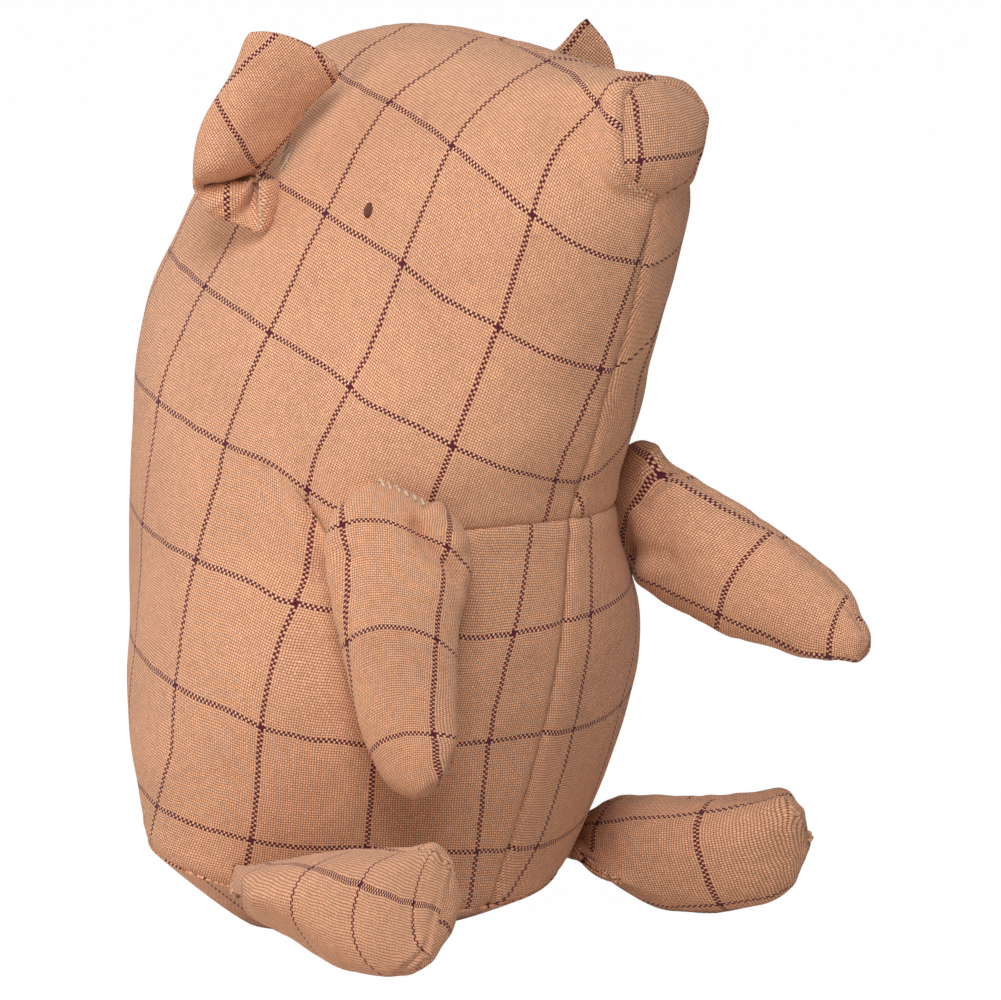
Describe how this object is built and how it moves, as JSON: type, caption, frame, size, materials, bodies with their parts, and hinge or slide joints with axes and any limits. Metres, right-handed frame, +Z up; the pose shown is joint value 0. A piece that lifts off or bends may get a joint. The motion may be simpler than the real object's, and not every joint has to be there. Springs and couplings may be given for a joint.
{
  "type": "plush pig",
  "caption": "Seated plush pig of checked linen: sewn side panels, snout and base over fibre and pellet filling, with folding ears and stuffed limbs hinged on their seams.",
  "frame": {"origin": "on the floor plane, at the flat middle of the base panel's underside", "axes": "+Z up from the floor through the crown; the pig looks along -Y; its left side is +X"},
  "size_m": [0.142, 0.1908, 0.2085],
  "materials": {
    "side_panel_right": "woven linen with a plum windowpane check",
    "side_panel_left": "woven linen with a plum windowpane check",
    "snout_panel": "woven linen with a plum windowpane check",
    "base_panel": "woven linen with a plum windowpane check",
    "body_stuffing": "loose polyester fibre",
    "pellet_pouch": "cloth pouch of small pellets",
    "eye_right": "satin-stitched dark brown thread",
    "eye_left": "satin-stitched dark brown thread",
    "tail": "rolled woven linen",
    "ear_right_front": "woven linen with a plum windowpane check",
    "ear_right_back": "woven linen with a plum windowpane check",
    "arm_right_outer_skin": "woven linen with a plum windowpane check",
    "arm_right_inner_skin": "woven linen with a plum windowpane check",
    "arm_right_stuffing": "loose polyester fibre",
    "leg_right_outer_skin": "woven linen with a plum windowpane check",
    "leg_right_inner_skin": "woven linen with a plum windowpane check",
    "leg_right_stuffing": "loose polyester fibre",
    "ear_left_front": "woven linen with a plum windowpane check",
    "ear_left_back": "woven linen with a plum windowpane check",
    "arm_left_outer_skin": "woven linen with a plum windowpane check",
    "arm_left_inner_skin": "woven linen with a plum windowpane check",
    "arm_left_stuffing": "loose polyester fibre",
    "leg_left_outer_skin": "woven linen with a plum windowpane check",
    "leg_left_inner_skin": "woven linen with a plum windowpane check",
    "leg_left_stuffing": "loose polyester fibre"
  },
  "bodies": {
    "body": {"side_panel_right": "side_panel_right", "side_panel_left": "side_panel_left", "snout_panel": "snout_panel", "base_panel": "base_panel", "body_stuffing": "body_stuffing", "pellet_pouch": "pellet_pouch", "eye_right": "eye_right", "eye_left": "eye_left"},
    "tail": {"tail": "tail"},
    "ear_right": {"ear_right_front": "ear_right_front", "ear_right_back": "ear_right_back"},
    "arm_right": {"arm_right_outer_skin": "arm_right_outer_skin", "arm_right_inner_skin": "arm_right_inner_skin", "arm_right_stuffing": "arm_right_stuffing"},
    "leg_right": {"leg_right_outer_skin": "leg_right_outer_skin", "leg_right_inner_skin": "leg_right_inner_skin", "leg_right_stuffing": "leg_right_stuffing"},
    "ear_left": {"ear_left_front": "ear_left_front", "ear_left_back": "ear_left_back"},
    "arm_left": {"arm_left_outer_skin": "arm_left_outer_skin", "arm_left_inner_skin": "arm_left_inner_skin", "arm_left_stuffing": "arm_left_stuffing"},
    "leg_left": {"leg_left_outer_skin": "leg_left_outer_skin", "leg_left_inner_skin": "leg_left_inner_skin", "leg_left_stuffing": "leg_left_stuffing"}
  },
  "joints": [
    {"name": "arm_right_swing", "type": "hinge", "parent": "body", "child": "arm_right", "pos_m": [-0.04326, -0.052, 0.11149], "axis": [-0.6714, 0.7408, -0.0215], "range_deg": [0, 70], "stiffness_Nm_per_rad": 0.05},
    {"name": "arm_left_swing", "type": "hinge", "parent": "body", "child": "arm_left", "pos_m": [0.04285, -0.05221, 0.09797], "axis": [0.0201, -0.4099, 0.9119], "range_deg": [-10, 30], "stiffness_Nm_per_rad": 0.05},
    {"name": "leg_right_splay", "type": "hinge", "parent": "body", "child": "leg_right", "pos_m": [-0.05242, -0.00936, 0.01082], "axis": [0, 0, -1], "range_deg": [0, 40], "stiffness_Nm_per_rad": 0.05},
    {"name": "leg_left_splay", "type": "hinge", "parent": "body", "child": "leg_left", "pos_m": [0.05242, -0.00936, 0.01082], "axis": [0, 0, 1], "range_deg": [0, 40], "stiffness_Nm_per_rad": 0.05},
    {"name": "ear_right_flap", "type": "hinge", "parent": "body", "child": "ear_right", "pos_m": [-0.02891, 0.00285, 0.17068], "axis": [0.4134, -0.0413, 0.9096], "range_deg": [-12, 12], "stiffness_Nm_per_rad": 0.01},
    {"name": "ear_left_flap", "type": "hinge", "parent": "body", "child": "ear_left", "pos_m": [0.02891, 0.00281, 0.17064], "axis": [-0.4134, -0.0413, 0.9096], "range_deg": [-12, 12], "stiffness_Nm_per_rad": 0.01},
    {"name": "tail_wag", "type": "hinge", "parent": "body", "child": "tail", "pos_m": [0.00004, 0.05994, 0.06552], "axis": [1, 0, 0], "range_deg": [-15, 15], "stiffness_Nm_per_rad": 0.01}
  ]
}
